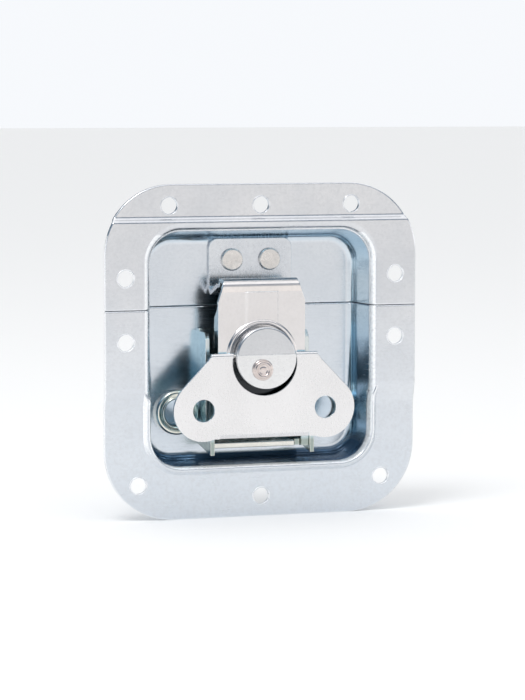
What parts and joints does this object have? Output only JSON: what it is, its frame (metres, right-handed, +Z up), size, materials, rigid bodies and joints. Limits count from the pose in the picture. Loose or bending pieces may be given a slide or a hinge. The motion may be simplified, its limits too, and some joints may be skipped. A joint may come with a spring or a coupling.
{
  "type": "recessed butterfly latch",
  "caption": "Recessed butterfly latch for a case: two-part pressed dish, riveted keeper, turning drum with a folding wing, and a hooked claw.",
  "frame": {"origin": "centre of the four side holes of the rim, on the parting line of the dish halves, at the back of the raised part of the rim", "axes": "+X right, +Z up along the pull of the claw, -Y out of the case towards the user"},
  "size_m": [0.104, 0.0221, 0.107],
  "materials": {
    "dish_zinc": "bright zinc plating on pressed steel, faint drawing marks",
    "bright_plate": "warm bright plating with fine polishing lines",
    "rivet_steel": "dull plated rivets with soft edges",
    "spring_steel": "oiled spring steel",
    "ring_plate": "zinc plating with a yellowish cast"
  },
  "bodies": {
    "dish": {"upper_dish": "dish_zinc", "lower_dish": "dish_zinc", "keeper_plate": "dish_zinc", "keeper_rivet_left": "rivet_steel", "keeper_rivet_right": "rivet_steel", "latch_base": "bright_plate", "stop_bar": "bright_plate", "base_rivets": "rivet_steel", "rest_ring_left": "ring_plate", "rest_ring_right": "ring_plate", "centre_stud": "rivet_steel", "thrust_washer": "spring_steel", "leaf_spring": "spring_steel"},
    "drum": {"drum_cup": "bright_plate", "drum_half_plate": "bright_plate", "drum_back_plate": "bright_plate", "crank_pin": "rivet_steel", "hinge_pin": "rivet_steel"},
    "wing": {"wing_handle": "bright_plate"},
    "claw": {"claw_plate": "bright_plate"}
  },
  "joints": [
    {"name": "drum_turn", "type": "hinge", "parent": "dish", "child": "drum", "pos_m": [0, -0.0056, -0.01575], "axis": [0, 1, 0], "range_deg": [0, 158]},
    {"name": "wing_fold", "type": "hinge", "parent": "drum", "child": "wing", "pos_m": [0, -0.0029, -0.01515], "axis": [-1, 0, 0], "range_deg": [0, 90]},
    {"name": "claw_lift", "type": "slide", "parent": "dish", "child": "claw", "axis": [0, 0, 1], "range_m": [0, 0.0078]}
  ],
  "couplings": [
    {"joint": "claw_lift", "follows": "drum_turn", "m_per_rad": 0.002796}
  ]
}
